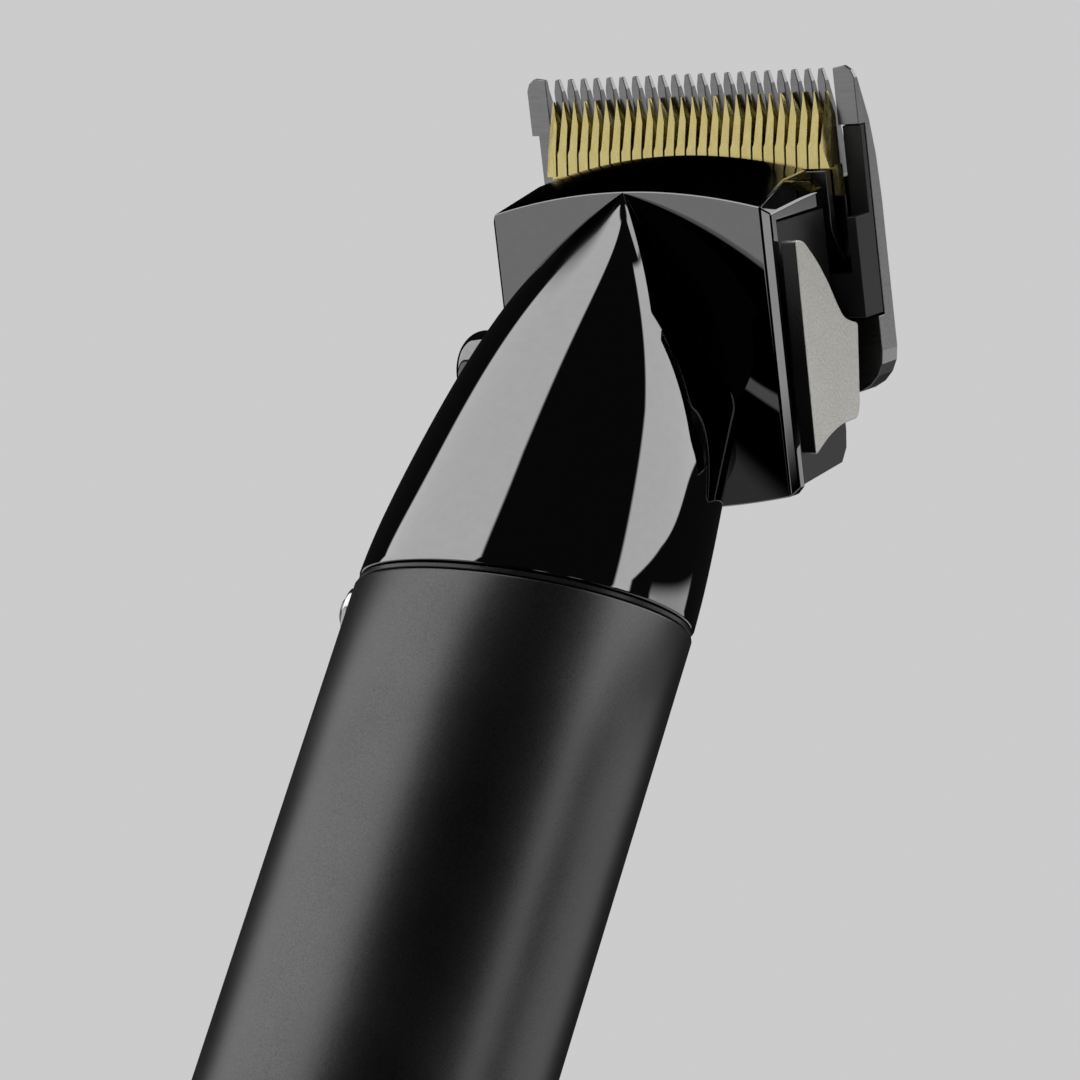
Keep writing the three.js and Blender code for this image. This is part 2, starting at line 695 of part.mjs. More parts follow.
function movingBlade() {
  const half = MOVING_HALF_WIDTH;
  const back = FIXED_FACE + 0.15;
  const foot = 2.4;
  const tooth = [
    [0.66, MOVING_ROOT], [0.66, MOVING_TIP - 2.7], [-0.04, MOVING_TIP],
    [-0.3, MOVING_TIP], [-0.66, MOVING_TIP - 5.7], [-0.66, MOVING_ROOT],
  ];
  const comb = plate(
    combOutline(
      [[half, -1], [half, MOVING_ROOT], [-half, MOVING_ROOT], [-half, -1]],
      MOVING_TEETH, MOVING_PITCH, tooth,
    ),
    MOVING_FRONT - 3,
    MOVING_FRONT + 1,
  );
  const thickness = [
    [-2, back], [12, back], [MOVING_TIP, back + 0.35], [MOVING_GRIND, MOVING_FRONT],
    [foot, MOVING_FRONT], [foot, back + 1], [-2, back + 1],
  ];
  const corner = new THREE.Vector3(half, foot - 0.2, MOVING_FRONT);
  const [nx, nd, nn] = CORNER_NORMAL;
  const blade = [-1, 1].reduce(
    (left, side) => left.trimByPlane([-side * nx, -nd, -nn], -corner.dot({ x: nx, y: nd, z: nn })),
    meet(comb, across(thickness, -30, 30)),
  );
  return blade.translate(MOVING_SHIFT, 0, 0);
}

function bladeYoke() {
  const profile = [
    [2.1, -14.1], [2.1, -13.1], [-4.6, -13.1], [-5.9, -13.6], [-8.6, -15], [-8.6, -15.35],
    [-7.6, -15.35], [-5.4, -14.3], [-4.4, -14.1],
  ].reverse();
  return across(profile, -19.2, 19.2).translate(MOVING_SHIFT, 0, 0);
}

function driveFork() {
  const prong = (side) => {
    const [near, far] = [side * 3.9, side * 6.3];
    return box([Math.min(near, far), -8, -12.9], [Math.max(near, far), -2.4, -7.4]);
  };
  const foot = box([-6.3, -4.4, -12.8], [6.3, -2.4, -11.9]);
  return join(prong(-1), prong(1), foot).translate(MOVING_SHIFT, 0, 0);
}

// The carriage holds the fixed blade. Its arm lies in the recess of the right wing, its cheeks flank
// the moving blade's yoke, and a slotted tongue reaches through the rear wall to the cam.
function bladeCarriage() {
  const front = -12.9;
  const bridgeTop = -9.9;
  const cheekTop = -3.3;
  const outside = FIXED_HALF_WIDTH - 0.05;
  const footInside = 20.5;
  const seat = FIXED_FACE + 0.15;
  const armFloor = FIXED_FACE - WING_STEP + 0.15;
  const armFace = armFloor + 0.85;
  const bridge = box([-outside, CARRIAGE_FOOT, seat], [outside, bridgeTop, front]);
  const sides = [-1, 1].flatMap((side) => {
    const span = (near, far) => [Math.min(side * near, side * far), Math.max(side * near, side * far)];
    const [footLow, footHigh] = span(footInside, outside);
    const [cheekLow, cheekHigh] = span(21.7, outside);
    return [
      box([footLow, CARRIAGE_FOOT, armFloor], [footHigh, bridgeTop, seat + 1]),
      box([cheekLow, CARRIAGE_FOOT, armFloor], [cheekHigh, cheekTop, front]),
    ];
  });
  const arm = box([footInside, CARRIAGE_FOOT, armFloor], [outside, WING_SHOULDER - 0.15, armFace]);
  const tongue = box([CAM_X - 1.4, LEVER_D - 2.3, -14], [CAM_X + 1.4, CARRIAGE_FOOT + 1, -8.6]);
  const slot = box([CAM_X - 3, LEVER_D - 1.1, -11.6], [CAM_X + 3, LEVER_D + 1.1, -8]);
  return cut(
    join(bridge, arm, ...sides, tongue),
    slot,
    ...[-1, 1].map((side) => bar(1.5, -20, -10, side * BLADE_SCREW_X, BLADE_SCREW_D, 16)),
  );
}

piece(head, "fixed_blade", "steel", fixedBlade());
piece(head, "blade_carriage", "mattePlastic", bladeCarriage());
for (const [side, name] of [[-1, "left"], [1, "right"]])
  piece(
    head,
    `blade_screw_${name}`,
    "brightSteel",
    screw(side * BLADE_SCREW_X, BLADE_SCREW_D, -18.75, 2.7, 1.05, BLADE_SCREW_RADIUS, 5.9),
  );
piece(head, "moving_blade", "gold", movingBlade());
piece(head, "blade_yoke", "steel", bladeYoke());
piece(head, "drive_fork", "mattePlastic", driveFork());

// ---- Taper lever ----
function taperLever() {
  const start = LEVER_START;
  const points = [
    [-4, -1.3], [-4.3, -3], [-7.2, -5.6], [-10.2, -7.5], [-12.8, -8.8], [-14.5, -9.9],
    [-15.5, -12.6], [-24.9, -11.2], [-26.2, -10.5], [-26.3, -7], [-27.1, -4.2], [-28.8, -0.9],
  ].reverse();
  return cut(
    across(points, start, start + LEVER_THICKNESS),
    crossBar(LEVER_HOLE_RADIUS, start - 1, start + 1, LEVER_D, LEVER_N),
  );
}

function taperKnob() {
  const start = -LEVER_START;
  const rounded = steps(0, 1, 3).map((t) => {
    const angle = (Math.PI / 2) * t;
    return [KNOB_RADIUS - 2 + 2 * Math.cos(angle), KNOB_LENGTH - 2 + 2 * Math.sin(angle)];
  });
  const profile = [[0, 0], [3.2, 0], [3.2, 1.2], [KNOB_RADIUS, 2], ...rounded, [0, KNOB_LENGTH]];
  const knob = moved(turned(profile, 28), new THREE.Matrix4().makeRotationY(-Math.PI / 2));
  return cut(
    knob.translate(start, LEVER_D, LEVER_N),
    crossBar(LEVER_HOLE_RADIUS, start - 3, start + 1, LEVER_D, LEVER_N),
  );
}

piece(head, "taper_lever", "satinNickel", taperLever());
piece(
  head,
  "lever_shaft",
  "steel",
  crossBar(LEVER_SHAFT_RADIUS, -LEVER_START - 2.7, LEVER_START + 0.8, LEVER_D, LEVER_N),
);
piece(
  head,
  "lever_cam",
  "brightSteel",
  cut(
    join(
      crossBar(CAM_HUB, CAM_X - 4.4, CAM_X - 2, LEVER_D, LEVER_N, 24),
      box(
        [CAM_X - 4.4, LEVER_D - 1.2, LEVER_N - CAM_THROW],
        [CAM_X - 2, LEVER_D + 1.2, LEVER_N],
      ),
      crossBar(1.2, CAM_X - 4.4, CAM_X - 2, LEVER_D, LEVER_N - CAM_THROW, 24),
      crossBar(0.85, CAM_X - 2.1, CAM_X + 1.4, LEVER_D, LEVER_N - CAM_THROW, 16),
    ),
    crossBar(LEVER_HOLE_RADIUS, -40, 40, LEVER_D, LEVER_N),
  ),
);
piece(head, "taper_knob", "glossBlack", taperKnob());
// Detent leaf: its free end bears on the cam's hub.
const leafTop = LEVER_D - CAM_HUB - GAP;
piece(
  head,
  "detent_spring",
  "brightSteel",
  across(
    [
      [leafTop - 0.4, -6.4], [leafTop, -6.4], [leafTop, -4.4], [leafTop - 1.8, -2.4],
      [leafTop - 2.3, -2.4], [leafTop - 0.4, -4.6],
    ].reverse(),
    CAM_X - 4.2,
    CAM_X - 2.2,
  ),
);

export default clipper;
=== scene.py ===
import json
import math

import bmesh
import bpy
from mathutils import Matrix, Vector


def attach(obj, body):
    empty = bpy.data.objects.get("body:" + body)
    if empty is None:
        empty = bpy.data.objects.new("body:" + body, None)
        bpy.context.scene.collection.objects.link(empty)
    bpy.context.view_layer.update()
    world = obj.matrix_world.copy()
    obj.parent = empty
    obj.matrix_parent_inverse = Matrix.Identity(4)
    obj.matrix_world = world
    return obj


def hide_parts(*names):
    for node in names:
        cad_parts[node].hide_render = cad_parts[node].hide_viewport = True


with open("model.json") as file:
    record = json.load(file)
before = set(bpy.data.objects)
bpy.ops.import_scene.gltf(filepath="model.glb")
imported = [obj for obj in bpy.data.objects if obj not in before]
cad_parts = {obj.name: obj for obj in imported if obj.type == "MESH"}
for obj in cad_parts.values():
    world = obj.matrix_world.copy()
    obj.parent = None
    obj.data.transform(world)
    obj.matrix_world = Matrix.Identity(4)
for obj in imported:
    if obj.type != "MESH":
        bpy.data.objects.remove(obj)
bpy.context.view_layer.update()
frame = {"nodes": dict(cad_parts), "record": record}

# ---- Shape of the clipper, in millimetres, as the CAD has it ----
MM = 0.001
HANDLE_RADIUS = 19.0
TUBE_RADIUS = 17.4
SEAM_HEIGHT = 110.0
SEAM_SLOPE = 0.2244
SEAM_EDGE = 0.45
HEAD_TILT = math.radians(40)
HEAD_FORWARD = 4.55
HEAD_RISE = 49.0
HEAD_HALF_WIDTH = 19.4
FRONT_HALF_WIDTH = 18.6
HEAD_LENGTH = 33.4
HEAD_DEPTH = 12.35
TOP_ARCH = 2.24
BOTTOM_ARCH = 1.6
FACET_RISE = 2.0
FACET_DEPTH = 7.5
CHAMFER = 0.9
NECK_CUT = -1.2
APEX_RISE = 50.75
APEX_FORWARD = 5.89
NECK_TAPER = 0.157
NECK_EASING = 3.0
NECK_EASED_FROM = 4.0
NECK_FRONT_SHARE = 0.62
SHOULDER_FROM = 30.0
SHOULDER_TO = 40.0
LEVER_D = -19.4
LEVER_N = -5.2
LEVER_START = 20.0
KNOB_RADIUS = 4.8
KNOB_LENGTH = 8.0
BUTTON_ANGLE = math.radians(203)
BUTTON_HEIGHT = SEAM_HEIGHT - 4.7
BEZEL_RADIUS = 2.8
BEZEL_FACE = HANDLE_RADIUS + 0.65
BUTTON_RADIUS = 2.25
BUTTON_FACE = HANDLE_RADIUS + 1.4
BASE_HEIGHT = 2.4

HEAD = Matrix.Translation((0, -HEAD_FORWARD, SEAM_HEIGHT + HEAD_RISE)) @ Matrix.Rotation(
    math.pi / 2 + HEAD_TILT, 4, "X"
)
TO_METRES = Matrix.Scale(MM, 4)


# ---- Small tools ----
def smoothstep(value, low, high):
    t = min(max((value - low) / (high - low), 0.0), 1.0)
    return t * t * (3 - 2 * t)


def spread(low, high, count):
    return [low + (high - low) * i / (count - 1) for i in range(count)]


def circle(radius, height, count, phase=0.0):
    return [
        Vector((radius * math.cos(a), radius * math.sin(a), height))
        for a in (phase + 2 * math.pi * i / count for i in range(count))
    ]


def loft(rings, loop=False):
    """A closed skin through rings of equal count: capped at both ends, or joined end to end."""
    bm = bmesh.new()
    rows = [[bm.verts.new(p) for p in ring] for ring in rings]
    pairs = list(zip(rows, rows[1:] + rows[:1])) if loop else list(zip(rows, rows[1:]))
    for low, high in pairs:
        for i in range(len(low)):
            j = (i + 1) % len(low)
            bm.faces.new((low[i], low[j], high[j], high[i]))
    if not loop:
        bm.faces.new(list(reversed(rows[0])))
        bm.faces.new(rows[-1])
    bmesh.ops.recalc_face_normals(bm, faces=bm.faces)
    return bm


def turned(profile, count=128):
    """A solid of revolution about z. Profile points are (radius, height), open at the axis."""
    rings = [circle(max(r, 0.001), z, count) for r, z in profile]
    return loft(rings)


def tube(profile, count=128):
    return loft([circle(r, z, count) for r, z in profile], loop=True)


def prism(outline, low, high, axis):
    """An outline in the other two axes, standing along the named one ("x" or "z")."""
    def place(a, b, c):
        return Vector((c, a, b)) if axis == "x" else Vector((a, b, c))

    return loft([[place(a, b, c) for a, b in outline] for c in (low, high)])


def rounded_profile(points, radius, steps=5):
    """An outline with every corner rounded to the radius, or to a list of radii."""
    out = []
    count = len(points)
    for i, point in enumerate(points):
        here = Vector(point)
        r = radius[i] if isinstance(radius, (list, tuple)) else radius
        back = Vector(points[i - 1]) - here
        ahead = Vector(points[(i + 1) % count]) - here
        reach = min(r, back.length * 0.49, ahead.length * 0.49)
        if reach < 1e-4:
            out.append(tuple(here))
            continue
        start = here + back.normalized() * reach
        end = here + ahead.normalized() * reach
        for k in range(steps + 1):
            t = k / steps
            out.append(tuple(start * (1 - t) ** 2 + here * 2 * t * (1 - t) + end * t * t))
    return out


def temporary(bm):
    mesh = bpy.data.meshes.new("temporary")
    bm.to_mesh(mesh)
    bm.free()
    made = bpy.data.objects.new("temporary", mesh)
    bpy.context.scene.collection.objects.link(made)
    return made


def cut_by(bm, others):
    """The shape with the others cut away from it."""
    made = temporary(bm)
    for other in others:
        cutter = temporary(other)
        step = made.modifiers.new("cut", "BOOLEAN")
        step.operation, step.object, step.solver = "DIFFERENCE", cutter, "EXACT"
        graph = bpy.context.evaluated_depsgraph_get()
        done = bpy.data.meshes.new_from_object(made.evaluated_get(graph))
        made.modifiers.clear()
        made.data = done
        bpy.data.objects.remove(cutter)
    out = bmesh.new()
    out.from_mesh(made.data)
    bpy.data.objects.remove(made)
    bmesh.ops.remove_doubles(out, verts=out.verts, dist=1e-5)
    return out


def bevelled(made, width, segments=3, angle=28):
    step = made.modifiers.new("round", "BEVEL")
    step.width = width * MM
    step.segments = segments
    step.limit_method = "ANGLE"
    step.angle_limit = math.radians(angle)
    step.harden_normals = True
    step.use_clamp_overlap = True
    return made


def piece(name, bm, material, body, replaced=(), placed=None, bevel=None, sharp=32):
    """Adds a finished piece, given in millimetres, to a body of the frame."""
    if placed is not None:
        bm.transform(placed)
    bm.transform(TO_METRES)
    mesh = bpy.data.meshes.new(name)
    bm.to_mesh(mesh)
    bm.free()
    mesh.shade_smooth()
    mesh.set_sharp_from_angle(angle=math.radians(sharp))
    mesh.materials.append(material)
    made = bpy.data.objects.new(name, mesh)
    bpy.context.scene.collection.objects.link(made)
    if bevel:
        bevelled(made, bevel)
    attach(made, body)
    if replaced:
        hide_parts(*replaced)
    return made


# ---- Materials ----
DRIFT_SCALE = 60


def nodes_of(name):
    material = bpy.data.materials.new(name)
    material.use_nodes = True
    tree = material.node_tree
    return material, tree, tree.nodes["Principled BSDF"]


def surface(
    name, dark, light, metallic, rough, grain, bump=0.0, depth=0.02, stretch=(1, 1, 1),
    turn=0.0,
):
    """A procedural finish: colour and roughness drift slowly, and a fine grain lifts the surface."""
    material, tree, shader = nodes_of(name)
    new, link = tree.nodes.new, tree.links.new
    shader.inputs["Metallic"].default_value = metallic
    where = new("ShaderNodeTexCoord")
    mapping = new("ShaderNodeMapping")
    mapping.inputs["Rotation"].default_value = (turn, 0, 0)
    mapping.vector_type = "TEXTURE"
    link(where.outputs["Object"], mapping.inputs["Vector"])
    squeeze = new("ShaderNodeMapping")
    squeeze.inputs["Scale"].default_value = stretch
    link(mapping.outputs["Vector"], squeeze.inputs["Vector"])
    fine = new("ShaderNodeTexNoise")
    fine.inputs["Scale"].default_value = grain
    fine.inputs["Detail"].default_value = 3
    link(squeeze.outputs["Vector"], fine.inputs["Vector"])
    broad = new("ShaderNodeTexNoise")
    broad.inputs["Scale"].default_value = DRIFT_SCALE
    broad.inputs["Detail"].default_value = 4
    link(where.outputs["Object"], broad.inputs["Vector"])
    both = new("ShaderNodeMix")
    both.data_type = "FLOAT"
    both.inputs["Factor"].default_value = 0.4
    link(fine.outputs["Fac"], both.inputs["A"])
    link(broad.outputs["Fac"], both.inputs["B"])
    colours = new("ShaderNodeValToRGB")
    colours.color_ramp.elements[0].position = 0.32
    colours.color_ramp.elements[0].color = (*dark, 1)
    colours.color_ramp.elements[1].position = 0.68
    colours.color_ramp.elements[1].color = (*light, 1)
    link(both.outputs["Result"], colours.inputs["Fac"])
    link(colours.outputs["Color"], shader.inputs["Base Color"])
    gloss = new("ShaderNodeMapRange")
    gloss.inputs["From Min"].default_value = 0.3
    gloss.inputs["From Max"].default_value = 0.7
    gloss.inputs["To Min"].default_value = rough[0]
    gloss.inputs["To Max"].default_value = rough[1]
    link(both.outputs["Result"], gloss.inputs["Value"])
    link(gloss.outputs["Result"], shader.inputs["Roughness"])
    if bump:
        lift = new("ShaderNodeBump")
        lift.inputs["Strength"].default_value = bump
        lift.inputs["Distance"].default_value = depth * MM
        link(fine.outputs["Fac"], lift.inputs["Height"])
        link(lift.outputs["Normal"], shader.inputs["Normal"])
    return material


def painted_facing_shade(material, normal, dark, start=0.93, full=0.985, rough=None):
    """Gives the faces that look along a direction a darker colour, which is painted shade, and a duller
    gloss.
    """
    tree = material.node_tree
    shader = tree.nodes["Principled BSDF"]
    geometry = tree.nodes.new("ShaderNodeNewGeometry")
    along = tree.nodes.new("ShaderNodeVectorMath")
    along.operation = "DOT_PRODUCT"
    along.inputs[1].default_value = normal
    tree.links.new(geometry.outputs["Normal"], along.inputs[0])
    share = tree.nodes.new("ShaderNodeMapRange")
    share.interpolation_type = "SMOOTHSTEP"
    share.inputs["From Min"].default_value = start
    share.inputs["From Max"].default_value = full
    tree.links.new(along.outputs["Value"], share.inputs["Value"])
    mix = tree.nodes.new("ShaderNodeMix")
    mix.data_type = "RGBA"
    mix.inputs["B"].default_value = (*dark, 1)
    tree.links.new(share.outputs["Result"], mix.inputs["Factor"])
    tree.links.new(shader.inputs["Base Color"].links[0].from_socket, mix.inputs["A"])
    tree.links.new(mix.outputs["Result"], shader.inputs["Base Color"])
    if rough is None:
        return
    dull = tree.nodes.new("ShaderNodeMix")
    dull.data_type = "FLOAT"
    dull.inputs["B"].default_value = rough
    tree.links.new(share.outputs["Result"], dull.inputs["Factor"])
    tree.links.new(shader.inputs["Roughness"].links[0].from_socket, dull.inputs["A"])
    tree.links.new(dull.outputs["Result"], shader.inputs["Roughness"])
    edge = tree.nodes.new("ShaderNodeMix")
    edge.data_type = "RGBA"
    edge.inputs["A"].default_value = (1, 1, 1, 1)
    edge.inputs["B"].default_value = (*dark, 1)
    tree.links.new(share.outputs["Result"], edge.inputs["Factor"])
    tree.links.new(edge.outputs["Result"], shader.inputs["Specular Tint"])


def grey(value):
    return (value, value, value * 1.01)


ALONG_BLADE = math.pi / 2 + HEAD_TILT
# Each row: darkest and lightest colour, metallic, roughness range, grain scale, and where they are
# wanted the strength and depth of the grain's relief, and the grain's stretch and turn.
finish = {
    name: surface(name, *settings)
    for name, settings in {
        "gloss_shell": (grey(0.235), grey(0.25), 1.0, (0.012, 0.03), 900),
        "matte_tube": (grey(0.075), grey(0.135), 1.0, (0.3, 0.4), 5200, 0.35, 0.03),
        "satin_housing": (grey(0.02), grey(0.03), 0.0, (0.3, 0.4), 4200, 0.25, 0.02),
        "seam_trim": (grey(0.012), grey(0.02), 0.0, (0.25, 0.35), 3000, 0.1),
        "gloss_button": (grey(0.2), grey(0.23), 1.0, (0.03, 0.06), 1500),
        "bright_trim": (grey(0.6), grey(0.7), 1.0, (0.12, 0.2), 2500, 0.08),
        "blade_steel": (
            grey(0.28), grey(0.36), 1.0, (0.26, 0.36), 2600, 0.1, 0.01, (0.12, 1, 1), ALONG_BLADE,
        ),
        "gold_blade": (
            (0.8, 0.66, 0.24), (0.98, 0.84, 0.38), 1.0, (0.2, 0.32), 2600, 0.2, 0.01,
            (1, 0.12, 1), ALONG_BLADE,
        ),
        "satin_lever": ((0.6, 0.58, 0.54), (0.82, 0.8, 0.76), 1.0, (0.28, 0.4), 3400, 0.6, 0.04),
        "screw_steel": (grey(0.4), grey(0.55), 1.0, (0.22, 0.35), 3000, 0.15),
        "steel_parts": (grey(0.45), grey(0.58), 1.0, (0.25, 0.38), 2400, 0.12),
        "bright_parts": (grey(0.55), grey(0.7), 1.0, (0.18, 0.3), 2600, 0.1),
        "contact_brass": ((0.6, 0.42, 0.18), (0.75, 0.56, 0.27), 1.0, (0.25, 0.4), 2400, 0.12),
        "inner_plastic": (grey(0.012), grey(0.022), 0.0, (0.35, 0.5), 3200, 0.25, 0.02),
        "board": ((0.02, 0.13, 0.06), (0.03, 0.18, 0.09), 0.0, (0.3, 0.45), 900, 0.1),
        "cell_wrap": ((0.04, 0.14, 0.36), (0.06, 0.18, 0.42), 0.0, (0.25, 0.35), 700, 0.08),
        "magnet": (grey(0.08), grey(0.13), 0.2, (0.5, 0.65), 1800, 0.3, 0.03),
        "nylon": ((0.62, 0.6, 0.54), (0.7, 0.68, 0.62), 0.0, (0.4, 0.5), 1600, 0.1),
    }.items()
}
front_normal = (HEAD.to_3x3() @ Vector((0, 0, 1))).normalized()
lip_normal = HEAD.to_3x3() @ Vector((0, FACET_DEPTH, FACET_RISE)).normalized()
# Painted shade: the lip facets of the gloss shell get a darker colour and specular tint, besides a
# duller gloss.
painted_facing_shade(finish["gloss_shell"], lip_normal, grey(0.035), rough=0.16)
# Painted shade: the lever's faces that look to the front of the head are painted dark grey.
painted_facing_shade(finish["satin_lever"], front_normal, grey(0.05), 0.35, 0.95)
slot_of = {row["node"]: row["material_slot"] for row in frame["record"]["subparts"]}
for node, shown in frame["nodes"].items():
    shown.data.materials.clear()
    shown.data.materials.append(finish[slot_of[node]])


def refined(node, width, angle=28, segments=2):
    """Gives a flat-sided CAD node clean faces and small rounded edges."""
    shown = frame["nodes"][node]
    weld = shown.modifiers.new("weld", "WELD")
    weld.merge_threshold = 2e-6
    flat = shown.modifiers.new("flat", "DECIMATE")
    flat.decimate_type = "DISSOLVE"
    flat.angle_limit = math.radians(0.8)
    bevelled(shown, width, segments, angle)


# ---- Neck ----
def rise(height):
    return max(height, 0.0) / APEX_RISE


def eased(height):
    return NECK_EASING * math.log(1 + math.exp((height - NECK_EASED_FROM) / NECK_EASING))


def neck_section(height):
    lean = rise(height) ** 3
    left = HANDLE_RADIUS - NECK_FRONT_SHARE * APEX_FORWARD - NECK_TAPER * eased(APEX_RISE)
    drawn = NECK_TAPER * eased(height) + left * rise(height) ** 4
    radius = HANDLE_RADIUS - drawn - NECK_FRONT_SHARE * APEX_FORWARD * lean
    return -APEX_FORWARD * lean, max(radius, 0.02)


def slope(height):
    return SEAM_SLOPE * (1 - rise(height))


def neck_point(height, angle, thinner=0.0):
    y, radius = neck_section(height)
    back = smoothstep(math.sin(angle), 0, 1.2) * (1 - smoothstep(height, SHOULDER_FROM, SHOULDER_TO))
    reach = max(radius + (HANDLE_RADIUS - radius) * back - thinner, 0.02)
    py = y * (1 - back) + reach * math.sin(angle)
    return Vector((reach * math.cos(angle), py, SEAM_HEIGHT + height + slope(height) * py))


def neck_ring(height, thinner, count):
    return [neck_point(height, 2 * math.pi * i / count, thinner) for i in range(count)]


def kept_side(bm, point, normal):
    """Cuts a shape by a plane, keeps the side the normal points to and closes it."""
    done = bmesh.ops.bisect_plane(
        bm, geom=bm.verts[:] + bm.edges[:] + bm.faces[:], dist=1e-6,
        plane_co=point, plane_no=normal, clear_inner=True,
    )
    rim = [e for e in done["geom_cut"] if isinstance(e, bmesh.types.BMEdge)]
    bmesh.ops.edgeloop_fill(bm, edges=rim)
    return bm


NECK_COUNT = 216
NECK_LEVELS = 110
NECK_START = SEAM_EDGE + 0.3
rounding = [(SEAM_EDGE, 0.3), (SEAM_EDGE + 0.06, 0.14), (SEAM_EDGE + 0.16, 0.04), (NECK_START, 0.0)]
heights = [
    NECK_START + (APEX_RISE - SEAM_EDGE - 0.3) * (i / NECK_LEVELS) for i in range(1, NECK_LEVELS + 1)
]
neck_rings = [neck_ring(h, t, NECK_COUNT) for h, t in rounding]
neck_rings += [neck_ring(h, 0.0, NECK_COUNT) for h in heights]
neck = kept_side(loft(neck_rings), HEAD @ Vector((0, 0, NECK_CUT)), front_normal)
piece("head_neck", neck, finish["gloss_shell"], "housing", ("head_shell",))


# ---- Head block ----
TOP_CORNER = 2.2
TOP_SEAT = -1.8
FRONT_WALL = -2.0
FACET_LIFT = 0.36
BLOCK_STATIONS = 61
CHAMFER_STATION = 1.01


def block_ring(share):
    """One station across the head, from -1 to 1; the outermost are pulled in by the chamfers."""
    outer = abs(share) > 1
    sign = math.copysign(1, share)
    inner = max(min(share, 1), -1)
    front_x = inner * (HEAD_HALF_WIDTH - CHAMFER)
    rear_x = inner * (HEAD_HALF_WIDTH - TOP_CORNER)
    arch = TOP_ARCH * (1 - min(abs(front_x) / FRONT_HALF_WIDTH, 1) ** 2)
    drop, rear_drop = (CHAMFER, TOP_CORNER) if outer else (0.0, 0.0)
    if outer:
        front_x = rear_x = sign * HEAD_HALF_WIDTH
    bottom = -HEAD_LENGTH - BOTTOM_ARCH * (1 - inner ** 2) + drop
    return [
        Vector((front_x, bottom, FRONT_WALL)),
        Vector((front_x, TOP_SEAT, FRONT_WALL)),
        Vector((front_x, TOP_SEAT, -HEAD_DEPTH)),
        Vector((rear_x, FACET_RISE + FACET_LIFT + arch - rear_drop, -HEAD_DEPTH)),
        Vector((rear_x, FACET_RISE + arch - rear_drop, -FACET_DEPTH)),
        Vector((front_x, arch - drop, -drop)),
        Vector((front_x, bottom, -drop)),
    ]


stations = [-CHAMFER_STATION, *spread(-1, 1, BLOCK_STATIONS), CHAMFER_STATION]
block = loft([block_ring(s) for s in stations])
piece("head_block", block, finish["gloss_shell"], "housing", ("head_shell",),
      placed=HEAD, bevel=0.22)


# ---- Handle ----
RING_COUNT = 256
CAP_GAP = 0.3


def seam_circle(radius, offset):
    return [
        Vector((p.x, p.y, SEAM_HEIGHT + offset + SEAM_SLOPE * p.y))
        for p in circle(radius, 0, RING_COUNT)
    ]


at_button = Matrix.Translation((0, 0, BUTTON_HEIGHT)) @ Matrix.Rotation(BUTTON_ANGLE, 4, "Z")
around_button = at_button @ Matrix.Rotation(math.pi / 2, 4, "Y")
low = BASE_HEIGHT + CAP_GAP
body_rings = [
    circle(TUBE_RADIUS, low, RING_COUNT), circle(HANDLE_RADIUS - 0.3, low, RING_COUNT),
    circle(HANDLE_RADIUS - 0.08, low + 0.08, RING_COUNT), circle(HANDLE_RADIUS, low + 0.3, RING_COUNT),
    *[circle(HANDLE_RADIUS, z, RING_COUNT) for z in (30, 60, 90)],
    seam_circle(HANDLE_RADIUS, -SEAM_EDGE - 0.35), seam_circle(HANDLE_RADIUS - 0.1, -SEAM_EDGE - 0.1),
    seam_circle(HANDLE_RADIUS - 0.35, -SEAM_EDGE), seam_circle(TUBE_RADIUS, -SEAM_EDGE),
]
hole = turned([(BEZEL_RADIUS - 0.4, 10), (BEZEL_RADIUS - 0.4, 30)], 96)
hole.transform(around_button)
tube_wall = cut_by(loft(body_rings, loop=True), [hole])
piece("body_tube", tube_wall, finish["matte_tube"], "housing", ("body_shell",))

ring_profile = [
    (TUBE_RADIUS, -0.3), (HANDLE_RADIUS - 0.35, -0.3), (HANDLE_RADIUS - 0.25, -0.2),
    (HANDLE_RADIUS - 0.25, 0.2), (HANDLE_RADIUS - 0.35, 0.3), (TUBE_RADIUS, 0.3),
]
trim = loft([seam_circle(r, offset) for r, offset in ring_profile], loop=True)
piece("seam_trim", trim, finish["seam_trim"], "housing", ("seam_ring",))


def stadium(width, depth, corner, y, count=10):
    w, h = width / 2, depth / 2
    points = []
    for cx, cy, first in ((w, h, 0), (-w, h, 90), (-w, -h, 180), (w, -h, 270)):
        cx -= math.copysign(corner, cx)
        cy -= math.copysign(corner, cy)
        for i in range(count + 1):
            a = math.radians(first + 90 * i / count)
            points.append((cx + corner * math.cos(a), y + cy + corner * math.sin(a)))
    return points


SOCKET_Y = 9.5
CONTACT_X = 5.0
CAP_SCREW_X = 11.0


def upright(radius, low, high, x, y, count=64):
    bm = turned([(radius, low), (radius, high)], count)
    bm.transform(Matrix.Translation((x, y, 0)))
    return bm


cap_profile = [
    (0, 0), (HANDLE_RADIUS - 1.1, 0), (HANDLE_RADIUS - 0.6, 0.12), (HANDLE_RADIUS - 0.2, 0.45),
    (HANDLE_RADIUS, 0.95), (HANDLE_RADIUS, BASE_HEIGHT - 0.2), (HANDLE_RADIUS - 0.2, BASE_HEIGHT),
    (TUBE_RADIUS - CAP_GAP, BASE_HEIGHT), (TUBE_RADIUS - CAP_GAP, 8), (TUBE_RADIUS - 2.2, 8),
    (TUBE_RADIUS - 2.2, 3.2), (0, 3.2),
]
cap_holes = [prism(stadium(9.6, 4, 1.6, SOCKET_Y), -1, 5, "z")]
for side in (-1, 1):
    cap_holes.append(upright(1.9, -1, 5, side * CONTACT_X, -9.5))
    cap_holes.append(upright(1.3, -1, 5, side * CAP_SCREW_X, 0))
    cap_holes.append(upright(2.3, -1, 1.4, side * CAP_SCREW_X, 0))
cap = cut_by(turned(cap_profile, RING_COUNT), cap_holes)
piece("base_cap", cap, finish["satin_housing"], "housing", ("end_cap",))

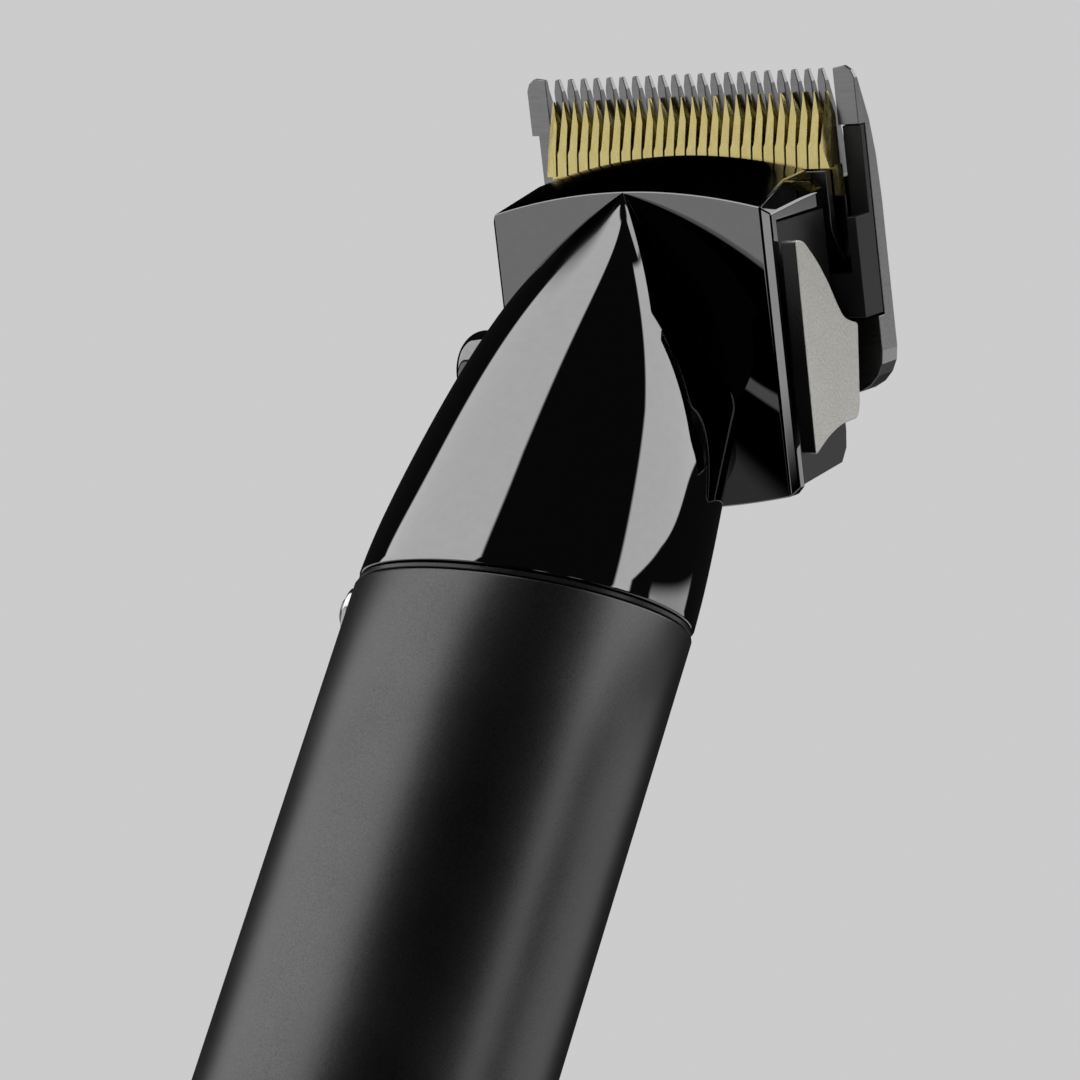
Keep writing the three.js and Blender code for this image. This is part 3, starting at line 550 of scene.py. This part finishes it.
# ---- Power button and its bezel ----
bezel_profile = [
    (BUTTON_RADIUS - 0.35, 16), (BEZEL_RADIUS - 0.6, 16), (BEZEL_RADIUS - 0.6, 18.8),
    (BEZEL_RADIUS, 18.9), (BEZEL_RADIUS, BEZEL_FACE - 0.3),
    (BEZEL_RADIUS - 0.1, BEZEL_FACE - 0.1), (BEZEL_RADIUS - 0.25, BEZEL_FACE),
    (BUTTON_RADIUS - 0.2, BEZEL_FACE), (BUTTON_RADIUS - 0.35, BEZEL_FACE - 0.15),
]
piece("button_ring", tube(bezel_profile, 96), finish["bright_trim"], "housing",
      ("button_bezel",), placed=around_button)
FLANGE_RADIUS = BUTTON_RADIUS + 0.6
cap_points = [(0, 14.7), (FLANGE_RADIUS, 14.7), (FLANGE_RADIUS, 15.4), (BUTTON_RADIUS - 0.5, 15.5)]
cap_points += [
    (BUTTON_RADIUS - 0.5 - 0.6 * (1 - math.cos(a)), BUTTON_FACE - 0.75 + 0.6 * math.sin(a))
    for a in (math.radians(x) for x in spread(0, 90, 8))
]
cap_points += [(0.9, BUTTON_FACE - 0.06), (0.4, BUTTON_FACE - 0.01), (0, BUTTON_FACE)]
piece("button_cap", turned(cap_points, 96), finish["gloss_button"], "button",
      ("power_button",), placed=around_button)

# ---- Taper lever and knob ----
lever_points = [
    (-28.8, -0.9), (-27.1, -4.2), (-26.3, -7), (-26.2, -10.5), (-24.9, -11.2), (-15.5, -12.6),
    (-14.5, -9.9), (-12.8, -8.8), (-10.2, -7.5), (-7.2, -5.6), (-4.3, -3), (-4, -1.3),
]
lever_radii = [0.7, 3, 2, 0.5, 1, 0.5, 2, 2, 3, 3, 0.8, 0.6]
lever = prism(rounded_profile(lever_points, lever_radii, 6), LEVER_START, LEVER_START + 2, "x")
BORE_RADIUS = 2.2
bore = turned([(BORE_RADIUS, 19), (BORE_RADIUS, 21)], 48)
bore.transform(Matrix.Translation((0, LEVER_D, LEVER_N)) @ Matrix.Rotation(math.pi / 2, 4, "Y"))
piece("lever_plate", cut_by(lever, [bore]), finish["satin_lever"], "lever",
      ("taper_lever",), placed=HEAD, bevel=0.45)

knob_points = [
    (0, 0), (3.1, 0), (3.2, 0.1), (3.2, 1.1), (3.5, 1.3), (KNOB_RADIUS - 0.15, 1.8), (KNOB_RADIUS, 2.1),
]
knob_points += [
    (KNOB_RADIUS - 2 + 2 * math.cos(a), KNOB_LENGTH - 2 + 2 * math.sin(a))
    for a in (math.radians(x) for x in spread(0, 90, 16))
]
knob_points.append((0, KNOB_LENGTH))
knob_place = Matrix.Translation((-LEVER_START, LEVER_D, LEVER_N))
at_knob = HEAD @ knob_place @ Matrix.Rotation(-math.pi / 2, 4, "Y")
pit = turned([(BORE_RADIUS, -1), (BORE_RADIUS, 3)], 48)
piece("lever_knob", cut_by(turned(knob_points, 128), [pit]), finish["gloss_button"], "lever",
      ("taper_knob",), placed=at_knob)

# ---- Moving blade ----
MOVING_TEETH = 26
MOVING_PITCH = 1.536
MOVING_SHIFT = 0.22
MOVING_HALF_WIDTH = 20.1
MOVING_TIP = 11.0
TOOTH_HALF = 0.66
BLADE_BACK = -15.4
BLADE_FRONT = -13.0


def merged(shapes):
    out = bmesh.new()
    for bm in shapes:
        mesh = bpy.data.meshes.new("temporary")
        bm.to_mesh(mesh)
        bm.free()
        out.from_mesh(mesh)
        bpy.data.meshes.remove(mesh)
    return out


def blade_tooth(x):
    """One tooth: ground back to its tip, with a chamfer along the upper part of its left edge."""
    rings = []
    for d in (2.4, 5.0, 5.5, 8.3, 9.3, 10.2, 10.85, MOVING_TIP):
        left = -TOOTH_HALF + 0.36 * min(max((d - 5.3) / 5.7, 0), 1)
        right = TOOTH_HALF - 0.7 * min(max((d - 8.3) / 2.7, 0), 1)
        front = BLADE_FRONT - 2.05 * max(d - 3.6, 0) / 7.4
        wanted = 0.03 + 0.2 * smoothstep(d, 5.0, 5.5)
        chamfer = min(wanted, 0.42 * (right - left), 0.6 * (front - BLADE_BACK))
        rings.append([
            Vector((x + a, d, n)) for a, n in (
                (right, BLADE_BACK), (left, BLADE_BACK), (left, front - chamfer),
                (left + chamfer * 0.8, front), (right - 0.04, front), (right, front - 0.04),
            )
        ])
    return loft(rings)


CORNER_NORMAL = (0.285, 0.254, 0.924)
CORNER_D = 2.2
teeth = []
for i in range(MOVING_TEETH):
    tooth = blade_tooth(((MOVING_TEETH - 1) / 2 - i) * MOVING_PITCH)
    for side in (-1, 1):
        point = Vector((side * MOVING_HALF_WIDTH, CORNER_D, BLADE_FRONT))
        inward = -Vector((side * CORNER_NORMAL[0], *CORNER_NORMAL[1:]))
        if any((v.co - point).dot(inward) < 0 for v in tooth.verts):
            tooth = kept_side(tooth, point, inward)
    teeth.append(tooth)
teeth.append(prism([(-1, BLADE_BACK), (2.6, BLADE_BACK), (2.6, BLADE_BACK + 1), (-1, BLADE_BACK + 1)],
                   -MOVING_HALF_WIDTH, MOVING_HALF_WIDTH, "x"))
piece("blade_teeth", merged(teeth), finish["gold_blade"], "cutter", ("moving_blade",),
      placed=HEAD @ Matrix.Translation((MOVING_SHIFT, 0, 0)))

# ---- Flat-sided parts keep their CAD shape, with rounded edges ----
for node, width in (
    ("rear_housing", 0.25), ("fixed_blade", 0.1), ("blade_yoke", 0.1),
    ("blade_carriage", 0.15), ("drive_fork", 0.15),
):
    refined(node, width)

# ---- Camera ----
AIM = Vector((0, 0, 120)) * MM
DISTANCE = 646.0 * MM
AZIMUTH = math.radians(38.79)
ELEVATION = math.radians(-22.16)
ROLL = math.radians(17.54)
FOCAL_PIXELS = 5724.0
FRAME_PIXELS = 1080.0
SENSOR = 36.0
SHIFT_X, SHIFT_Y = -9.84, -10.04
forward = Vector((
    -math.sin(AZIMUTH) * math.cos(ELEVATION),
    math.cos(AZIMUTH) * math.cos(ELEVATION),
    -math.sin(ELEVATION),
))
level_right = Vector((math.cos(AZIMUTH), math.sin(AZIMUTH), 0))
level_up = level_right.cross(forward)
right = level_right * math.cos(ROLL) + level_up * math.sin(ROLL)
up = -level_right * math.sin(ROLL) + level_up * math.cos(ROLL)
lens = bpy.data.cameras.new("camera")
lens.sensor_width = SENSOR
lens.lens = FOCAL_PIXELS / FRAME_PIXELS * SENSOR
lens.shift_x, lens.shift_y = SHIFT_X / FRAME_PIXELS, SHIFT_Y / FRAME_PIXELS
lens.clip_start, lens.clip_end = 0.01, 20
camera = bpy.data.objects.new("camera", lens)
bpy.context.scene.collection.objects.link(camera)
camera.matrix_world = Matrix.Translation(AIM - forward * DISTANCE) @ Matrix(
    (right, up, -forward)
).transposed().to_4x4()
bpy.context.scene.camera = camera

# ---- Floor disc ----
FLOOR_RADIUS = 3
PAPER = (0.72, 0.72, 0.72, 1)
floor_mesh = bpy.data.meshes.new("floor")
rim = circle(FLOOR_RADIUS, 0, 64)
floor_mesh.from_pydata(rim, [], [list(range(64))])
floor = bpy.data.objects.new("floor", floor_mesh)
bpy.context.scene.collection.objects.link(floor)
floor.location.z = -0.0002
floor_material, tree, shader = nodes_of("floor_paper")
floor_mesh.materials.append(floor_material)

# ---- Node arithmetic for the lights ----


class Sums:
    """Arithmetic on the sockets of one node tree."""

    def __init__(self, tree):
        self.new, self.link = tree.nodes.new, tree.links.new

    def apply(self, operation, *values):
        made = self.new("ShaderNodeMath")
        made.operation = operation
        for socket, value in zip(made.inputs, values):
            if isinstance(value, (int, float)):
                socket.default_value = value
            else:
                self.link(value, socket)
        return made.outputs["Value"]

    def bearing(self, x, y):
        """Degrees round from the front, towards the right."""
        turned_round = self.apply("ARCTAN2", x, self.apply("MULTIPLY", y, -1.0))
        return self.apply("MULTIPLY", turned_round, 180 / math.pi)

    def step(self, value, edge, softness):
        """From 0 to 1 as the value passes the edge; a negative softness steps down."""
        away = self.apply("SUBTRACT", value, edge)
        made = self.new("ShaderNodeMapRange")
        made.interpolation_type = "SMOOTHSTEP"
        made.inputs["From Min"].default_value = -softness
        made.inputs["From Max"].default_value = softness
        self.link(away, made.inputs["Value"])
        return made.outputs["Result"]

    def leaning(self, value, start, amount, low, high):
        """An edge that leans: start, plus an amount per degree between two heights."""
        made = self.new("ShaderNodeMapRange")
        made.inputs["From Min"].default_value = low
        made.inputs["From Max"].default_value = high
        made.inputs["To Min"].default_value = start
        made.inputs["To Max"].default_value = start + amount * (high - low)
        self.link(value, made.inputs["Value"])
        return made.outputs["Result"]

    def window(self, value, low, high, softness):
        return self.apply("MULTIPLY", self.step(value, low, softness), self.step(value, high, -softness))


# ---- Floor: pale paper, seen from above only; what is glossy mirrors lit and dark cards on it ----
sums = Sums(tree)
new, link = sums.new, sums.link
shader.inputs["Roughness"].default_value = 0.9
shader.inputs["Base Color"].default_value = PAPER
place = new("ShaderNodeTexCoord")
split = new("ShaderNodeSeparateXYZ")
link(place.outputs["Object"], split.inputs["Vector"])
round_floor = sums.bearing(split.outputs["X"], split.outputs["Y"])
LEFT_CARD_EDGE, LEFT_CARD = -9.0, 0.58
RIGHT_CARD_EDGES, RIGHT_CARD = (64.0, 73.0), 0.95
REAR_CARD_EDGE, REAR_CARD = 125.0, 0.4
cards = sums.apply("MULTIPLY", sums.step(round_floor, LEFT_CARD_EDGE, -3.0), LEFT_CARD)
right_card = sums.apply("MULTIPLY", sums.window(round_floor, *RIGHT_CARD_EDGES, 1.5), RIGHT_CARD)
cards = sums.apply("ADD", cards, right_card)
rear_card = sums.apply("MULTIPLY", sums.step(round_floor, REAR_CARD_EDGE, 12.0), REAR_CARD)
cards = sums.apply("ADD", cards, rear_card)
lit = new("ShaderNodeEmission")
link(cards, lit.inputs["Strength"])
path = new("ShaderNodeLightPath")
either = new("ShaderNodeMixShader")
link(path.outputs["Is Glossy Ray"], either.inputs["Fac"])
link(shader.outputs["BSDF"], either.inputs[1])
link(lit.outputs["Emission"], either.inputs[2])
facing = new("ShaderNodeNewGeometry")
clear = new("ShaderNodeBsdfTransparent")
one_sided = new("ShaderNodeMixShader")
link(facing.outputs["Backfacing"], one_sided.inputs["Fac"])
link(either.outputs["Shader"], one_sided.inputs[1])
link(clear.outputs["BSDF"], one_sided.inputs[2])
link(one_sided.outputs["Shader"], tree.nodes["Material Output"].inputs["Surface"])

# ---- Soft studio: soft boxes in a dark room, and a pale backdrop for the camera ----
KEY_STRENGTH = 1.9
AMBIENT = 0.012
BACKDROP = (0.6, 0.6, 0.605, 1)
world = bpy.data.worlds.new("studio")
bpy.context.scene.world = world
world.use_nodes = True
tree = world.node_tree
sums = Sums(tree)
new, link = sums.new, sums.link
direction = new("ShaderNodeTexCoord")
split = new("ShaderNodeSeparateXYZ")
link(direction.outputs["Generated"], split.inputs["Vector"])
bearing = sums.bearing(split.outputs["X"], split.outputs["Y"])
height = sums.apply("MULTIPLY", sums.apply("ARCSINE", split.outputs["Z"]), 180 / math.pi)


def soft_box(left, right, bottom, top, strength, edge=1.3):
    """A lit area between two bearings and two heights, in degrees."""
    sides = sums.apply("MULTIPLY", sums.step(bearing, left, edge), sums.step(bearing, right, -edge))
    area = sums.apply("MULTIPLY", sides, sums.window(height, bottom, top, edge))
    return sums.apply("MULTIPLY", area, strength)


left_box = soft_box(
    sums.leaning(height, -86, 1.0, 24, 62), sums.leaning(height, -2, 0.55, 38, 80), 2, 82, KEY_STRENGTH,
)
right_edge = sums.apply(
    "ADD", sums.leaning(height, 106, 4, 27, 32), sums.leaning(height, 0, 6.5, 32, 38),
)
right_box = soft_box(sums.leaning(height, 93, -0.5, 45, 75), right_edge, 6, 70, KEY_STRENGTH)
side_box = soft_box(124, 168, 8, 26, 1.05)
top_box = soft_box(105, 165, 71.5, 83, 1.6)
boxes = sums.apply("ADD", sums.apply("ADD", left_box, right_box), sums.apply("ADD", top_box, side_box))
total = sums.apply("ADD", boxes, AMBIENT)
room = new("ShaderNodeBackground")
link(total, room.inputs["Strength"])
backdrop = new("ShaderNodeBackground")
backdrop.inputs["Color"].default_value = BACKDROP
seen = new("ShaderNodeLightPath")
mix = new("ShaderNodeMixShader")
link(seen.outputs["Is Camera Ray"], mix.inputs["Fac"])
link(room.outputs["Background"], mix.inputs[1])
link(backdrop.outputs["Background"], mix.inputs[2])
link(mix.outputs["Shader"], tree.nodes["World Output"].inputs["Surface"])
bpy.context.scene.view_settings.view_transform = "Standard"
